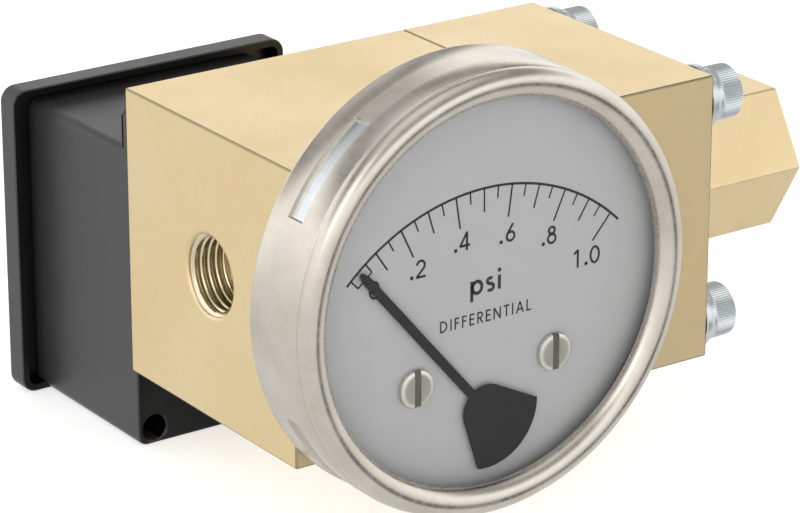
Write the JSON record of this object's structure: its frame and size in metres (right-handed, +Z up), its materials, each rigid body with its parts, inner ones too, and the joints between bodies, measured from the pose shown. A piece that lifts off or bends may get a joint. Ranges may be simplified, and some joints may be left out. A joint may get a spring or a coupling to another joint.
{
  "type": "differential pressure gauge with switch enclosure",
  "caption": "Brass diaphragm differential pressure gauge with a round dial, threaded line ports, a hexagonal spring housing and a moulded switch enclosure.",
  "frame": {"origin": "on the pressure axis, where the high-pressure port's straight wall begins, 0.95 mm inside the port face", "axes": "+X along the pressure axis from the high-pressure port to the low-pressure port, -Y out of the dial, +Z up"},
  "size_m": [0.1231, 0.1037, 0.0809],
  "materials": {
    "brass": "satin machined brass",
    "bezel_metal": "worn stainless, fine scratches",
    "zinc_steel": "zinc plated steel",
    "nickel_screw": "nickel plated, bright",
    "case_metal": "grey painted steel",
    "dial_face": "matte grey dial with black scale",
    "pointer_black": "matte black",
    "clear_window": "clear acrylic",
    "black_plastic": "moulded black, fine texture",
    "black_rubber": "matte rubber",
    "white_plastic": "natural acetal",
    "magnet_alloy": "sintered magnet",
    "spring_steel": "spring steel wire",
    "aluminium": "machined aluminium",
    "bearing_bronze": "bronze bush",
    "red_plastic": "phenolic terminal block",
    "wire_insulation": "PVC wire insulation",
    "reed_glass": "green tinted capsule"
  },
  "bodies": {
    "gauge_body": {"high_pressure_body": "brass", "low_pressure_cover": "brass", "hex_spring_housing": "brass", "housing_oring": "black_rubber", "spring_adjuster": "brass", "range_spring": "spring_steel", "diaphragm": "black_rubber", "cover_screws": "zinc_steel", "cover_screw_washers": "zinc_steel", "dial_case": "case_metal", "case_screws": "zinc_steel", "dial_plate": "dial_face", "dial_screws": "nickel_screw", "movement_bridge": "aluminium", "bridge_screws": "zinc_steel", "front_bearing": "bearing_bronze", "rear_bearing": "bearing_bronze", "window_gasket": "black_rubber", "window": "clear_window", "switch_box": "black_plastic", "switch_cover": "black_plastic", "switch_cover_gasket": "black_rubber", "switch_cover_screws": "zinc_steel", "box_screws": "zinc_steel", "adjuster_bracket": "aluminium", "bracket_screws": "zinc_steel", "terminal_strip": "red_plastic", "terminal_plates": "brass", "terminal_screws": "zinc_steel", "switch_leads": "wire_insulation"},
    "diaphragm_assembly": {"magnet_carrier": "white_plastic", "pointer_magnet": "magnet_alloy", "switch_magnet": "magnet_alloy", "high_side_plate": "aluminium", "low_side_plate": "aluminium", "carrier_screw": "zinc_steel"},
    "pointer_assembly": {"pointer": "pointer_black", "pointer_shaft": "zinc_steel", "rotor_magnet": "magnet_alloy"},
    "bezel_ring": {"bezel": "bezel_metal"},
    "switch_slide": {"switch_carriage": "white_plastic", "reed_switch": "reed_glass"},
    "switch_screw": {"adjusting_screw": "brass"}
  },
  "joints": [
    {"name": "diaphragm_travel", "type": "slide", "parent": "gauge_body", "child": "diaphragm_assembly", "axis": [1, 0, 0], "range_m": [0, 0.005], "stiffness_N_per_m": 1200, "springref_m": -0.001, "deforming": ["range_spring", "diaphragm"]},
    {"name": "pointer_sweep", "type": "hinge", "parent": "gauge_body", "child": "pointer_assembly", "pos_m": [0.02755, -0.0379, -0.0175], "axis": [0, 1, 0], "range_deg": [0, 81.4]},
    {"name": "bezel_twist", "type": "hinge", "parent": "gauge_body", "child": "bezel_ring", "pos_m": [0.02755, -0.0354, 0.0032], "axis": [0, -1, 0], "range_deg": [0, 31]},
    {"name": "switch_travel", "type": "slide", "parent": "gauge_body", "child": "switch_slide", "axis": [1, 0, 0], "range_m": [-0.003, 0.003], "deforming": ["switch_leads"]},
    {"name": "switch_screw_turn", "type": "hinge", "parent": "gauge_body", "child": "switch_screw", "pos_m": [0.02305, 0.0318, 0], "axis": [1, 0, 0], "range_deg": [-720, 720]}
  ],
  "couplings": [
    {"joint": "pointer_sweep", "follows": "diaphragm_travel", "rad_per_m": 283.7},
    {"joint": "switch_screw_turn", "follows": "switch_travel", "rad_per_m": 4188}
  ]
}
